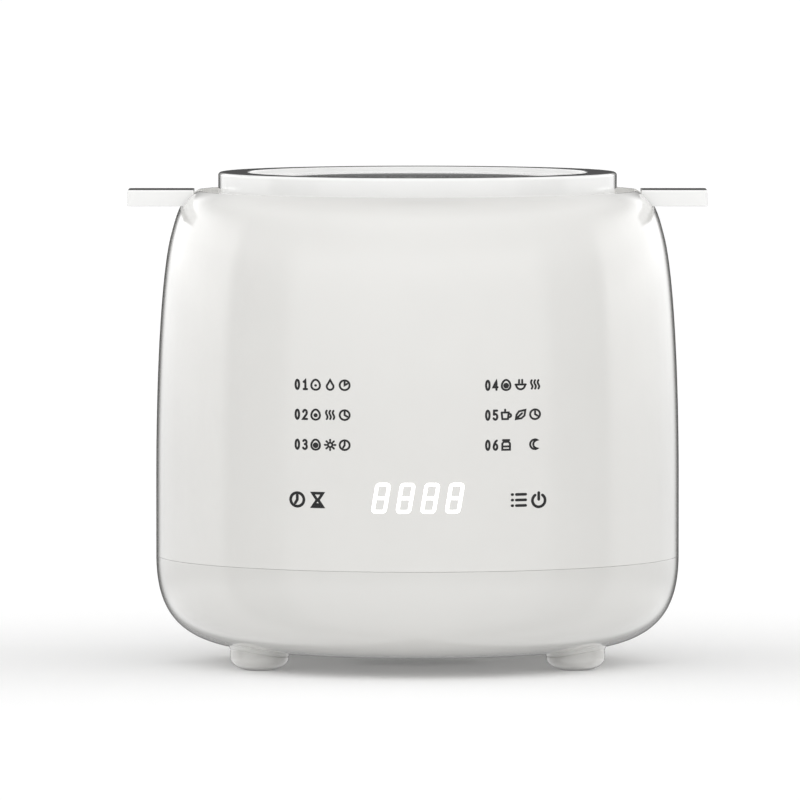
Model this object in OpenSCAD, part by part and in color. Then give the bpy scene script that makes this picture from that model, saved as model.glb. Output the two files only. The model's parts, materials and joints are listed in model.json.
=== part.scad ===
// Egg cooker: a round countertop steamer with a lift-out pot, an egg rack and an eared lid.
// +Z is up, z = 0 is the table, the axis of the body is x = y = 0, and the controls face -Y.

/* [Body] */
// Outer radius of the body at its widest
body_r = 83.7; // [83.2:0.1:85]
// Height of the rim above the table
rim_z = 151.5; // [151:0.1:152.5]
// Radius at which the shoulder meets the rim
rim_r = 70.7; // [70.6:0.1:71.2]
// Thickness of the two housings
wall = 2.5; // [2.2:0.1:2.8]
// Height of the seam between the upper housing and the base
seam_z = 34.7; // [34:0.1:35.4]
// Width of the open line at the seam
seam_gap = 0.5; // [0.3:0.1:0.8]
// Height of the underside above the table
underside_z = 5.2; // [5:0.1:5.6]

/* [Rim] */
// Radius of the recess that takes the lid's flange
recess_r = 70.2; // [70.1:0.1:70.4]
// Depth of the recess below the rim
recess_depth = 6.5; // [6.4:0.1:6.6]
// Thickness of the ledge that carries the pot
ledge_t = 3.4; // [3:0.1:3.8]
// Radius of the hole that the pot drops through
ledge_hole_r = 64.2; // [64:0.1:64.6]

/* [Lid] */
// Height of the lid's top above the rim
lid_rise = 5.8; // [5:0.1:7]
// Outer radius of the lid's raised middle
lid_r = 63.7; // [63.4:0.1:64]
// Radius of the dish in the lid's top
dish_r = 54.4; // [50:0.1:56]
// Depth of the dish
dish_depth = 1.8; // [1:0.1:2.4]
// Outer radius of the lid's flange
flange_r = 69.9; // [69.6:0.1:69.9]
// Thickness of the flange
flange_t = 1.6; // [1.4:0.1:1.8]
// Depth of the flange's top below the rim
moat_depth = 2.5; // [2.3:0.1:2.7]
// Thickness of the lid elsewhere
lid_wall = 2.0; // [1.8:0.1:2.2]
// Distance from the axis to the tip of an ear
ear_reach = 92.6; // [88:0.1:96]
// Width of an ear
ear_w = 20; // [16:0.5:24]
// Height of an ear's edge
ear_h = 5.2; // [4.8:0.1:5.2]
// How far an ear's top stands above the rim
ear_rise = 0.3; // [0:0.1:0.5]
// Radius of each steam hole
steam_hole_r = 1.5; // [1:0.1:2]
// Distance from the axis to the steam holes, towards the front
steam_hole_out = 44; // [36:1:50]

/* [Pot and rack] */
// Outer radius of the pot
pot_r = 63.2; // [62.8:0.1:63.4]
// Thickness of the pot's sheet
pot_sheet = 0.6; // [0.5:0.1:0.8]
// Height of the pot's underside
pot_floor_z = 61.8; // [61.8:0.1:63]
// Radius of the pot's lower corner
pot_corner_r = 12; // [10:0.5:14]
// Number of eggs that the rack holds
egg_count = 5; // [4:1:5]
// Radius of each egg hole
egg_hole_r = 17; // [16:0.5:17.5]
// Distance from the axis to the centre of an egg
egg_circle_r = 37.5; // [36:0.5:38]
// Height of the rack's plate
rack_z = 74; // [72:0.5:76]

/* [Heater] */
// Radius of the heating plate
plate_r = 52; // [51.5:0.1:52.5]
// Thickness of the heating plate
plate_t = 6; // [5.5:0.1:6.5]
// Radius of the ring that the heating tube follows
heater_circle_r = 38; // [37.5:0.1:38.5]
// Radius of the heating tube
heater_tube_r = 3.4; // [3:0.1:3.5]
// Radius of the temperature sensor's cap
sensor_r = 11.5; // [10:0.1:11.6]
// Radius of the sensor's stem
stem_r = 3; // [2.5:0.1:3.2]

/* [Controls] */
// Height of the display's middle
display_z = 57.9; // [56:0.1:60]
// Width of the display module
display_w = 42; // [40:0.5:42]
// Height of the display module
display_h = 14; // [13:0.5:15]
// Distance of each touch key from the middle
key_x = 35.4; // [32:0.1:36]

/* [Base] */
// Sideways distance of each foot from the middle
foot_x = 50.2; // [49:0.1:51]
// Fore-and-aft distance of each foot from the middle
foot_y = 29; // [27:0.1:31]
// Radius of a foot where it meets the base
foot_r = 9.5; // [9:0.1:10]
// Radius of the circle that the housing screws stand on
screw_circle_r = 72; // [71.8:0.1:72.4]
// Height of the middle of the mains inlet
inlet_z = 23.5; // [23:0.1:23.8]

/* [Hidden] */
$fn = 96;

white_plastic = [0.91, 0.90, 0.88];
steel = [0.75, 0.76, 0.78];
aluminium = [0.80, 0.80, 0.81];
circuit_green = [0.10, 0.35, 0.20];

fit_gap = 0.2;          // between pieces that rest on or beside each other
screw_r = 1.5;          // shank radius of the housing screws
small_screw_r = 1.2;    // shank radius of every other screw
pilot_play = 0.05;      // pilot holes are this much larger than the shanks
board_t = 1.6;          // thickness of both circuit boards

ledge_z = rim_z - recess_depth;
ledge_under_z = ledge_z - ledge_t;
lid_top_z = rim_z + lid_rise;
shoulder_r = body_r - 4.8;
shoulder_z = rim_z - 14.4;
belly_z = 58;
inner_r = body_r - wall;
floor_top_z = underside_z + wall;

// ---- curves ----

function bezier(p, t) =
    pow(1 - t, 3) * p[0] + 3 * pow(1 - t, 2) * t * p[1] + 3 * (1 - t) * t * t * p[2] + pow(t, 3) * p[3];
function curve(p, steps) = [for (i = [0:steps]) bezier(p, i / steps)];
function arc(cx, cy, r, from, to, steps) =
    [for (i = [0:steps]) let (a = from + (to - from) * i / steps) [cx + r * cos(a), cy + r * sin(a)]];
function reversed(list) = [for (i = [len(list) - 1:-1:0]) list[i]];
function unit(v) = v / norm(v);

// Outline of the side, from the belly up to the start of the shoulder, moved in by `inset`.
function side(inset) = curve([[body_r - inset, belly_z], [body_r - inset, belly_z + 35],
    [body_r - 1.7 - inset, shoulder_z - 12], [shoulder_r - inset, shoulder_z - inset / 5]], 10);
// Outline of the shoulder, up to the rim.
shoulder = curve([[shoulder_r, shoulder_z], [shoulder_r - 2.2, shoulder_z + 8.5],
    [rim_r + 4.8, rim_z - 3], [rim_r, rim_z]], 8);
// Outline of the base, from the seam round to the flat underside, moved in by `inset`.
function base_curve(inset) = curve([[body_r - inset, seam_z - seam_gap / 2], [body_r - 0.2 - inset, 16 + inset * 0.7],
    [76 - inset * 0.6, underside_z + 0.2 + inset], [50, underside_z + inset]], 16);

// A round bar swept along a path; `ref` is a direction that the path never runs along.
module bar(path, r, ref = [0, 0, 1], sides = 8) {
    last = len(path) - 1;
    rings = [for (i = [0:last])
        let (t = unit(path[min(i + 1, last)] - path[max(i - 1, 0)]), u = unit(cross(ref, t)), v = cross(t, u))
        for (k = [0:sides - 1]) path[i] + r * (cos(360 * k / sides) * u + sin(360 * k / sides) * v)];
    walls = [for (i = [0:last - 1]) for (k = [0:sides - 1])
        [i * sides + k, (i + 1) * sides + k, (i + 1) * sides + (k + 1) % sides, i * sides + (k + 1) % sides]];
    ends = [[for (k = [0:sides - 1]) k], [for (k = [sides - 1:-1:0]) last * sides + k]];
    polyhedron(rings, concat(walls, ends));
}

module ring(r_out, r_in, h) {
    difference() {
        cylinder(r = r_out, h = h);
        translate([0, 0, -1]) cylinder(r = r_in, h = h + 2);
    }
}

module block(x, y, z) {
    translate([x[0], y[0], z[0]]) cube([x[1] - x[0], y[1] - y[0], z[1] - z[0]]);
}

// A pan-head screw whose head rests on z = 0 and whose shank points up.
module screw(shank_r, head_r, head_h, length) {
    difference() {
        translate([0, 0, -head_h]) cylinder(r = head_r, h = head_h);
        for (a = [0, 90])
            rotate([0, 0, a]) translate([0, 0, -head_h]) cube([head_r, head_r / 4, head_h], center = true);
    }
    cylinder(r = shank_r, h = length);
}

module at_corners(x, y) {
    for (sx = [-1, 1]) for (sy = [-1, 1]) translate([sx * x, sy * y, 0]) children();
}

// Where the housing screws stand: at the sides and at the back, where the feet and the belly hide their holes.
screw_angles = [0, 60, 120, 180];

// ---- housings ----

pillar_r = 4.5;
pillar_bottom_z = 36.5;
pillar_top_z = 60;
board_front_y = -69.4;
board_screw_x = 36;
board_screw_z = [42, 74];
well_screw_r = 67.8;
notch_half_w = ear_w / 2 + 0.4;
notch_z = rim_z + ear_rise - ear_h - fit_gap;

module upper_housing() {
    profile = concat([[body_r, seam_z + seam_gap / 2]], side(0), shoulder,
        [[recess_r, rim_z], [recess_r, ledge_z], [ledge_hole_r, ledge_z], [ledge_hole_r, ledge_under_z],
         [shoulder_r - wall - 2.5, ledge_under_z]],
        reversed(side(wall)), [[inner_r, seam_z + seam_gap / 2]]);
    color(white_plastic) difference() {
        union() {
            rotate_extrude() polygon(profile);
            for (a = screw_angles) rotate([0, 0, a]) {
                translate([screw_circle_r, 0, pillar_bottom_z])
                    cylinder(r = pillar_r, h = pillar_top_z - pillar_bottom_z);
                block([screw_circle_r, inner_r + 0.5], [-1.2, 1.2], [pillar_bottom_z + 2, pillar_top_z]);
            }
            intersection() {
                for (x = [-board_screw_x, board_screw_x]) for (z = board_screw_z)
                    translate([x, board_front_y - 0.1, z]) rotate([90, 0, 0]) cylinder(r = 3, h = 12);
                cylinder(r = inner_r + wall / 2, h = 100);
            }
        }
        for (s = [-1, 1])
            block([s > 0 ? recess_r - 2 : -body_r - 1, s > 0 ? body_r + 1 : 2 - recess_r],
                [-notch_half_w, notch_half_w], [notch_z, rim_z + 1]);
        for (a = screw_angles) rotate([0, 0, a]) translate([screw_circle_r, 0, pillar_bottom_z - 1])
            cylinder(r = screw_r + pilot_play, h = 18);
        for (x = [-board_screw_x, board_screw_x]) for (z = board_screw_z)
            translate([x, board_front_y + 1, z]) rotate([90, 0, 0])
                cylinder(r = small_screw_r + pilot_play, h = 4.8);
        for (a = [60:120:300]) rotate([0, 0, a]) translate([well_screw_r, 0, ledge_under_z - 1])
            cylinder(r = small_screw_r + pilot_play, h = 3.7);
    }
}

base_seat_z = 22;       // where the heads of the housing screws rest
inlet_half_w = 9;
inlet_half_h = 6.8;
inlet_face_y = 75.5;
inlet_flange_w = 11.2;
inlet_flange_h = 8.4;
foot_stem_r = 3;
power_post = [33, 25];
power_y = -4;
power_board_z = 15;

module base_solid(inset = 0) {
    rotate_extrude()
        polygon(concat(base_curve(inset), [[0, underside_z + inset], [0, seam_z - seam_gap / 2]]));
}

module base_housing() {
    lip_r = inner_r - fit_gap;
    lip_h = 2.2;
    profile = concat(base_curve(0), [[0, underside_z], [0, floor_top_z]], reversed(base_curve(wall)),
        [[inner_r - 1.7, seam_z - 2.3], [lip_r - 1.5, seam_z], [lip_r - 1.5, seam_z + lip_h], [lip_r, seam_z + lip_h],
         [lip_r, seam_z - seam_gap / 2]]);
    color(white_plastic) difference() {
        union() {
            rotate_extrude() polygon(profile);
            intersection() {
                union() {
                    for (a = screw_angles) rotate([0, 0, a])
                        translate([screw_circle_r, 0, 0]) cylinder(r = 5, h = seam_z + 1);
                    block([-13, 13], [inlet_face_y - 4.5, body_r], [inlet_z - 10, seam_z - 1]);
                }
                union() {
                    base_solid();
                    translate([0, 0, seam_z - 4]) cylinder(r = inner_r, h = 5);
                }
            }
            translate([0, power_y, floor_top_z - 0.5]) at_corners(power_post[0], power_post[1])
                cylinder(r = 3, h = power_board_z - floor_top_z + 0.5);
        }
        for (a = screw_angles) rotate([0, 0, a]) translate([screw_circle_r, 0, 0]) {
            cylinder(r = 3.7, h = base_seat_z);
            cylinder(r = screw_r + 0.2, h = seam_z + 10);
        }
        at_corners(foot_x, foot_y) cylinder(r = foot_stem_r + 0.1, h = 20);
        translate([0, power_y, floor_top_z + 1]) at_corners(power_post[0], power_post[1])
            cylinder(r = small_screw_r + pilot_play, h = 20);
        block([-inlet_flange_w - fit_gap, inlet_flange_w + fit_gap], [inlet_face_y - 1.7, body_r + 1],
            [inlet_z - inlet_flange_h - fit_gap, inlet_z + inlet_flange_h + fit_gap]);
        block([-inlet_half_w - fit_gap, inlet_half_w + fit_gap], [60, body_r],
            [inlet_z - inlet_half_h - fit_gap, inlet_z + inlet_half_h + fit_gap]);
        for (i = [-3:3]) translate([i * 5.5, 0, underside_z]) cube([2.2, 30 - 3 * abs(i), 9], center = true);
    }
}

foot_bottom_z = 0.2;
pad_r = 4.6;

module feet() {
    profile = concat([[0, 11], [foot_r, 11]], curve([[foot_r, 6.4], [foot_r - 0.3, 2.6], [foot_r - 1.9, 0.9],
        [pad_r + 0.9, foot_bottom_z]], 8), [[pad_r + 0.1, foot_bottom_z], [pad_r + 0.1, foot_bottom_z + 1],
        [0, foot_bottom_z + 1]]);
    color(white_plastic) at_corners(foot_x, foot_y) union() {
        difference() {
            rotate_extrude() polygon(profile);
            for (sx = [-1, 1]) for (sy = [-1, 1]) intersection() {
                translate([-sx * foot_x, -sy * foot_y, -0.05]) base_solid();
                cylinder(r = 20, h = 20);
            }
        }
        translate([0, 0, 3]) cylinder(r = foot_stem_r, h = 8);
    }
}

module foot_pads() {
    color([0.80, 0.80, 0.79]) at_corners(foot_x, foot_y) cylinder(r = pad_r, h = foot_bottom_z + 0.95);
}

module base_screws() {
    color(steel) for (a = screw_angles)
        rotate([0, 0, a]) translate([screw_circle_r, 0, base_seat_z]) screw(screw_r, 3.2, 2.4, 28);
}

// ---- pot well and heater ----

well_r = 64.8;
well_sheet = 0.6;
well_floor_z = 50;
well_top_z = ledge_under_z - 0.1;
plate_top_z = pot_floor_z - fit_gap;
plate_z = plate_top_z - plate_t;
plate_screw_circle_r = 48.6;
heater_z = plate_z - 3;
bracket_z = 46;
bracket_t = 1.2;
bracket_screw_x = 29;
heater_end_a = 15;      // half the gap in the heating tube's ring, in degrees
heater_pin_z = 37;
elbow_swell = 0.25;     // the tube is swaged a little larger where it turns down
cutout_y = -23.5;
cutout_r = 7;
cutout_z = 48.4;
clip_t = 0.8;
clip_screw_x = 11;

module pot_well() {
    flange_out = recess_r - 0.2;
    profile = [[well_r + well_sheet, well_top_z - well_sheet], [flange_out, well_top_z - well_sheet],
        [flange_out, well_top_z], [well_r, well_top_z], [well_r, well_floor_z + well_sheet],
        [45, well_floor_z + well_sheet], [45, well_floor_z], [well_r + well_sheet, well_floor_z]];
    color(aluminium) difference() {
        rotate_extrude() polygon(profile);
        for (a = [60:120:300]) rotate([0, 0, a]) translate([well_screw_r, 0, well_top_z - 2])
            cylinder(r = small_screw_r + fit_gap, h = 4);
        for (a = [30:120:270]) rotate([0, 0, a]) translate([plate_screw_circle_r, 0, well_floor_z - 1])
            cylinder(r = small_screw_r + fit_gap, h = 3);
    }
}

module well_screws() {
    color(steel) for (a = [60:120:300]) rotate([0, 0, a])
        translate([well_screw_r, 0, well_top_z - well_sheet]) screw(small_screw_r, 2.2, 1.6, 3.1);
}

module heating_plate() {
    color(aluminium) difference() {
        union() {
            translate([0, 0, plate_z]) cylinder(r = plate_r, h = plate_t);
            translate([0, 0, heater_z - 1.6]) ring(heater_circle_r + 4.6, heater_circle_r - 4.6, 6);
        }
        translate([0, 0, heater_z - 4]) cylinder(r = sensor_r + 0.7, h = 20);
        rotate_extrude() translate([heater_circle_r, heater_z]) circle(r = heater_tube_r + 0.05);
        for (s = [-1, 1]) rotate([0, 0, 90 + s * heater_end_a])
            translate([heater_circle_r, 0, heater_z]) sphere(r = heater_tube_r + elbow_swell + 0.1);
        for (a = [30:120:270]) rotate([0, 0, a]) translate([plate_screw_circle_r, 0, plate_z - 1])
            cylinder(r = small_screw_r + pilot_play, h = 5);
        for (s = [-1, 1]) {
            translate([s * bracket_screw_x, 0, plate_z - 1]) cylinder(r = small_screw_r + pilot_play, h = 5);
            translate([s * clip_screw_x, cutout_y, plate_z - 1]) cylinder(r = small_screw_r + pilot_play, h = 5);
        }
    }
}

module heater_tube() {
    color([0.55, 0.55, 0.57]) {
        rotate([0, 0, 90 + heater_end_a]) rotate_extrude(angle = 360 - 2 * heater_end_a)
            translate([heater_circle_r, heater_z]) circle(r = heater_tube_r);
        for (s = [-1, 1]) rotate([0, 0, 90 + s * heater_end_a]) translate([heater_circle_r, 0, 0]) {
            translate([0, 0, heater_z]) sphere(r = heater_tube_r + elbow_swell);
            translate([0, 0, heater_z - 9]) cylinder(r = heater_tube_r - 0.1, h = 9);
            translate([0, 0, heater_pin_z]) cylinder(r = 1.6, h = 10);
        }
    }
}

module plate_spacers() {
    color([0.93, 0.91, 0.85]) for (a = [30:120:270]) rotate([0, 0, a])
        translate([plate_screw_circle_r, 0, well_floor_z + well_sheet])
            ring(3, small_screw_r + fit_gap, plate_z - well_floor_z - well_sheet);
}

module plate_screws() {
    color(steel) for (a = [30:120:270]) rotate([0, 0, a])
        translate([plate_screw_circle_r, 0, well_floor_z]) screw(small_screw_r, 2.2, 1.6, plate_z - well_floor_z + 3.5);
}

// A strap under the plate: a flat middle, two legs up and two feet held by screws.
module strap(half_w, foot_w, depth, low_z, t) {
    block([-half_w, half_w], [-depth / 2, depth / 2], [low_z, low_z + t]);
    for (s = [-1, 1]) {
        block(s > 0 ? [half_w - t, half_w] : [-half_w, -half_w + t], [-depth / 2, depth / 2], [low_z, plate_z]);
        block(s > 0 ? [half_w - t, half_w + foot_w] : [-half_w - foot_w, -half_w + t],
            [-depth / 2, depth / 2], [plate_z - t, plate_z]);
    }
}

module sensor_bracket() {
    color(steel) difference() {
        strap(25.5, 7, 12, bracket_z, bracket_t);
        translate([0, 0, bracket_z - 1]) cylinder(r = stem_r + 0.06, h = 4);
        for (s = [-1, 1]) translate([s * bracket_screw_x, 0, plate_z - 3])
            cylinder(r = small_screw_r + fit_gap, h = 4);
    }
}

cap_top_z = plate_top_z - 0.1;
cap_t = 1.2;

module sensor_cap() {
    color(aluminium) union() {
        rotate_extrude() polygon(concat([[0, cap_top_z], [sensor_r - 1, cap_top_z]],
            arc(sensor_r - 1, cap_top_z - 1, 1, 90, 0, 4), [[sensor_r, 52], [sensor_r - cap_t, 52],
            [sensor_r - cap_t, cap_top_z - cap_t], [0, cap_top_z - cap_t]]));
        translate([0, 0, 42]) cylinder(r = stem_r, h = cap_top_z - cap_t / 2 - 42);
    }
}

module sensor_spring() {
    wire_r = 0.5;
    coil_r = 6.5;
    turns = 5;
    low = bracket_z + bracket_t + wire_r + 0.05;
    high = cap_top_z - cap_t - wire_r - 0.05;
    color(steel) bar([for (i = [0:16 * turns]) let (a = 360 * i / 16)
        [coil_r * cos(a), coil_r * sin(a), low + (high - low) * i / (16 * turns)]], wire_r);
}

module thermal_cutout() {
    color([0.25, 0.18, 0.14]) translate([0, cutout_y, 0]) {
        translate([0, 0, cutout_z]) cylinder(r = cutout_r, h = plate_z - cutout_z - 0.1);
        for (s = [-1, 1]) translate([0, s * 4.6, cutout_z - 3]) cube([3, 0.8, 8], center = true);
    }
}

module cutout_clip() {
    color(steel) difference() {
        translate([0, cutout_y, 0]) strap(8.2, 5, 5, cutout_z - clip_t - 0.1, clip_t);
        for (s = [-1, 1]) translate([s * clip_screw_x, cutout_y, plate_z - 3])
            cylinder(r = small_screw_r + fit_gap, h = 4);
    }
}

module bracket_screws() {
    color(steel) for (s = [-1, 1]) {
        translate([s * bracket_screw_x, 0, plate_z - bracket_t]) screw(small_screw_r, 2, 1.4, 4.6);
        translate([s * clip_screw_x, cutout_y, plate_z - clip_t]) screw(small_screw_r, 2, 1.4, 4.6);
    }
}

// ---- controls behind the front ----

board_back_y = board_front_y + board_t;
board_half_w = 40;
board_low_z = 38;
board_high_z = 78;
display_face_y = -77;
bracket_depth = 1.4;

module control_board() {
    color(circuit_green) difference() {
        block([-board_half_w, board_half_w], [board_front_y, board_back_y], [board_low_z, board_high_z]);
        for (x = [-board_screw_x, board_screw_x]) for (z = board_screw_z)
            translate([x, board_back_y + 1, z]) rotate([90, 0, 0]) cylinder(r = small_screw_r + fit_gap, h = 4);
    }
}

module microcontroller() {
    color([0.12, 0.12, 0.13]) {
        block([-19, -9], [board_front_y - 1.4, board_front_y - 0.2], [39.5, 48.5]);
        for (i = [0:7]) for (x = [-19.8, -9])
            block([x, x + 0.8], [board_front_y - 0.8, board_front_y], [40 + i * 1.1, 40.5 + i * 1.1]);
    }
}

module board_socket() {
    color([0.95, 0.94, 0.90]) block([-7, 7], [board_front_y - 5, board_front_y], [39, 43.5]);
}

module buzzer() {
    color([0.10, 0.10, 0.10]) translate([0, board_front_y, 71.5]) rotate([90, 0, 0]) difference() {
        cylinder(r = 4.8, h = 5);
        translate([0, 0, 3]) cylinder(r = 1, h = 3);
    }
}

digit_pitch = 7.7;
digit_h = 9.5;
digit_w = 5.2;
digit_slant = 10;       // degrees
stroke = 1.25;

// One bar of a digit, `length` long and lying along X, with pointed ends.
module digit_bar(length) {
    e = length / 2;
    h = stroke / 2;
    polygon([[-e, 0], [-e + h, h], [e - h, h], [e, 0], [e - h, -h], [-e + h, -h]]);
}

// Seven bars, leaning to the right, centred on the origin.
module digit() {
    multmatrix([[1, tan(digit_slant), 0, 0], [0, 1, 0, 0], [0, 0, 1, 0], [0, 0, 0, 1]]) {
        for (y = [-1, 0, 1]) translate([0, y * (digit_h - stroke) / 2]) digit_bar(digit_w - stroke - 0.4);
        for (x = [-1, 1]) for (y = [-1, 1])
            translate([x * (digit_w - stroke) / 2, y * (digit_h - stroke) / 4])
                rotate([0, 0, 90]) digit_bar((digit_h - stroke) / 2 - 0.4);
    }
}

module digits(depth) {
    translate([0, 0, display_z]) rotate([90, 0, 0]) linear_extrude(height = depth)
        for (i = [-1.5:1.5]) translate([i * digit_pitch, 0]) digit();
}

module display_module() {
    color([0.16, 0.16, 0.17]) difference() {
        block([-display_w / 2, display_w / 2], [display_face_y, board_front_y],
            [display_z - display_h / 2, display_z + display_h / 2]);
        translate([0, display_face_y + 0.6, 0]) digits(1.2);
    }
}

module display_segments() {
    color("white") translate([0, display_face_y + 0.6, 0]) digits(0.6);
}

// Reaches from `front_y` to the inside of the front wall, over the rectangle x by z.
module behind_front(x, front_y, z) {
    intersection() {
        block(x, [-body_r, front_y], z);
        cylinder(r = inner_r - fit_gap, h = rim_z);
    }
}

module light_guide() {
    color([0.95, 0.96, 0.97]) behind_front([-display_w / 2, display_w / 2], display_face_y - 0.05,
        [display_z - display_h / 2, display_z + display_h / 2]);
}

module touch_pads() {
    pad = 5;
    color([0.35, 0.35, 0.37]) for (s = [-1, 1]) behind_front(
        [s * key_x - pad + (s < 0 ? 1 : 0), s * key_x + pad - (s > 0 ? 1 : 0)],
        board_front_y, [display_z - pad, display_z + pad]);
}

module board_bracket() {
    low_y = board_back_y + 0.1;
    color([0.85, 0.85, 0.83]) difference() {
        block([-board_half_w - 2, board_half_w + 2], [low_y, low_y + bracket_depth],
            [board_low_z - 1, board_high_z + 2]);
        block([-30, 30], [low_y - 1, low_y + 4], [board_low_z + 6, board_high_z - 6]);
        for (x = [-board_screw_x, board_screw_x]) for (z = board_screw_z)
            translate([x, low_y + 3, z]) rotate([90, 0, 0]) cylinder(r = small_screw_r + fit_gap, h = 5);
    }
}

module board_screws() {
    color(steel) {
        for (x = [-board_screw_x, board_screw_x]) for (z = board_screw_z)
            translate([x, board_back_y + 0.1 + bracket_depth, z]) rotate([90, 0, 0])
                screw(small_screw_r, 2.2, 1.6, 6.2);
        translate([0, power_y, power_board_z + board_t]) at_corners(power_post[0], power_post[1])
            rotate([180, 0, 0]) screw(small_screw_r, 2.2, 1.6, 6.2);
    }
}

// ---- power supply in the base ----

power_top_z = power_board_z + board_t;

module power_board() {
    color(circuit_green) difference() {
        translate([0, power_y, 0]) block([-37, 37], [-29, 29], [power_board_z, power_top_z]);
        translate([0, power_y, power_board_z - 1]) at_corners(power_post[0], power_post[1])
            cylinder(r = small_screw_r + fit_gap, h = 4);
    }
}

module transformer() {
    color([0.20, 0.20, 0.22]) translate([-17, 0, power_top_z]) {
        block([-12, 12], [-4, 4], [0, 19]);
        block([-8, 8], [-10, 10], [1, 17]);
    }
}

module relay() {
    color([0.15, 0.32, 0.62]) translate([14, 5, power_top_z]) block([-9.5, 9.5], [-7.7, 7.7], [0, 15.5]);
}

module bulk_capacitor() {
    color([0.15, 0.15, 0.18]) translate([-4, -23, power_top_z]) {
        cylinder(r = 5, h = 18);
        translate([0, 0, 18]) cylinder(r = 4, h = 0.4);
    }
}

module film_capacitor() {
    color([0.80, 0.65, 0.15]) translate([17, -20, power_top_z]) block([-9, 9], [-4, 4], [0, 14]);
}

module terminal_block() {
    color([0.20, 0.45, 0.30]) difference() {
        translate([14, 20, power_top_z]) block([-12, 12], [-4.5, 4.5], [0, 10]);
        for (x = [4:5:24]) translate([x, 26, power_top_z + 4]) rotate([90, 0, 0]) cylinder(r = 1.2, h = 5);
        for (x = [4:5:24]) translate([x, 20, power_top_z + 7]) cylinder(r = 1.7, h = 5);
    }
}

pin_x = 4.2;
earth_dz = 3.4;
line_dz = -2.6;
socket_back_y = inlet_face_y - 11;

module mains_inlet() {
    color([0.14, 0.14, 0.15]) translate([0, 0, inlet_z]) difference() {
        union() {
            block([-inlet_half_w, inlet_half_w], [inlet_face_y - 15, inlet_face_y - 1],
                [-inlet_half_h, inlet_half_h]);
            block([-inlet_flange_w, inlet_flange_w], [inlet_face_y - 1.5, inlet_face_y],
                [-inlet_flange_h, inlet_flange_h]);
        }
        translate([0, inlet_face_y + 1, 0]) rotate([90, 0, 0]) {
            for (x = [-pin_x, pin_x]) translate([x, line_dz, 0]) cylinder(r = 3.2, h = 12);
            translate([0, earth_dz - 1, 0]) cylinder(r = 4, h = 12);
            translate([-pin_x, line_dz - 3.2, 0]) cube([2 * pin_x, 6.4, 12]);
        }
        for (p = [[-pin_x, line_dz], [pin_x, line_dz], [0, earth_dz]])
            translate([p[0], socket_back_y + 1, p[1]]) rotate([90, 0, 0]) cylinder(r = 1.25, h = 12);
    }
}

module inlet_pins() {
    color([0.78, 0.66, 0.35]) for (p = [[-pin_x, line_dz], [pin_x, line_dz], [0, earth_dz]])
        translate([p[0], inlet_face_y - 3, inlet_z + p[1]]) rotate([90, 0, 0]) cylinder(r = 1.2, h = 20);
}

// ---- wiring inside the housing, in each case from one terminal to the other ----

lead_r = 1.1;
pin_back_y = inlet_face_y - 23.1;
terminal_y = 24.6;      // where the leads meet the terminal block
terminal_lead_z = power_top_z + 4;

module mains_leads() {
    color([0.60, 0.30, 0.15]) {
        bar(curve([[-pin_x, pin_back_y, inlet_z + line_dz], [-pin_x, 44, inlet_z + line_dz],
            [4, 40, terminal_lead_z], [4, terminal_y, terminal_lead_z]], 12), lead_r);
        bar(curve([[pin_x, pin_back_y, inlet_z + line_dz], [pin_x, 44, inlet_z + line_dz],
            [9, 40, terminal_lead_z], [9, terminal_y, terminal_lead_z]], 12), lead_r);
        bar(curve([[0, pin_back_y, inlet_z + earth_dz], [0, 40, 28], [14, 42, 24],
            [14, terminal_y, terminal_lead_z]], 14), lead_r);
    }
}

module heater_leads() {
    pin = heater_circle_r * [sin(heater_end_a), cos(heater_end_a)];
    color([0.75, 0.20, 0.16]) {
        bar(curve([[24, terminal_y, terminal_lead_z], [24, 36, terminal_lead_z], [pin[0], pin[1], 25],
            [pin[0], pin[1], heater_pin_z - 0.1]], 12), lead_r, [1, 0, 0]);
        bar(curve([[-24, 22, power_top_z + 0.1], [-24, 22, 30], [-pin[0], pin[1], 24],
            [-pin[0], pin[1], heater_pin_z - 0.1]], 14), lead_r, [0, 1, 0]);
    }
}

// A flat cable from the control board's socket down to the front edge of the power board.
module ribbon_cable() {
    t = 0.8;
    line = curve([[board_front_y - 2.5, 38.9], [board_front_y - 2.5, 20], [-58, 18], [-33.1, 18.4]], 14);
    last = len(line) - 1;
    edge = [for (s = [-1, 1]) [for (i = [0:last])
        let (d = unit(line[min(i + 1, last)] - line[max(i - 1, 0)])) line[i] + s * t / 2 * [-d[1], d[0]]]];
    color([0.75, 0.75, 0.76]) translate([-5, 0, 0]) rotate([90, 0, 90])
        linear_extrude(height = 10) polygon(concat(edge[0], reversed(edge[1])));
}

// ---- lift-out pieces ----

module inner_pot() {
    top_z = ledge_z + fit_gap;
    inside_r = pot_r - pot_sheet;
    flange = pot_r + 5.3;
    corner_in = pot_corner_r - pot_sheet;
    profile = concat([[0, pot_floor_z]], arc(pot_r - pot_corner_r, pot_floor_z + pot_corner_r, pot_corner_r, -90, 0, 8),
        [[pot_r, top_z], [flange, top_z]], arc(flange, top_z + 0.5, 0.5, -90, 90, 6),
        [[inside_r + 0.6, top_z + 1], [inside_r, top_z + 0.4]],
        arc(pot_r - pot_corner_r, pot_floor_z + pot_corner_r, corner_in, 0, -90, 8),
        [[0, pot_floor_z + pot_sheet]]);
    color(steel) rotate_extrude() polygon(profile);
}

rack_r = 60.4;
rack_t = 2;
leg_circle_r = 48;
post_r = 4.5;
rack_top_z = rack_z + rack_t;

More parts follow.
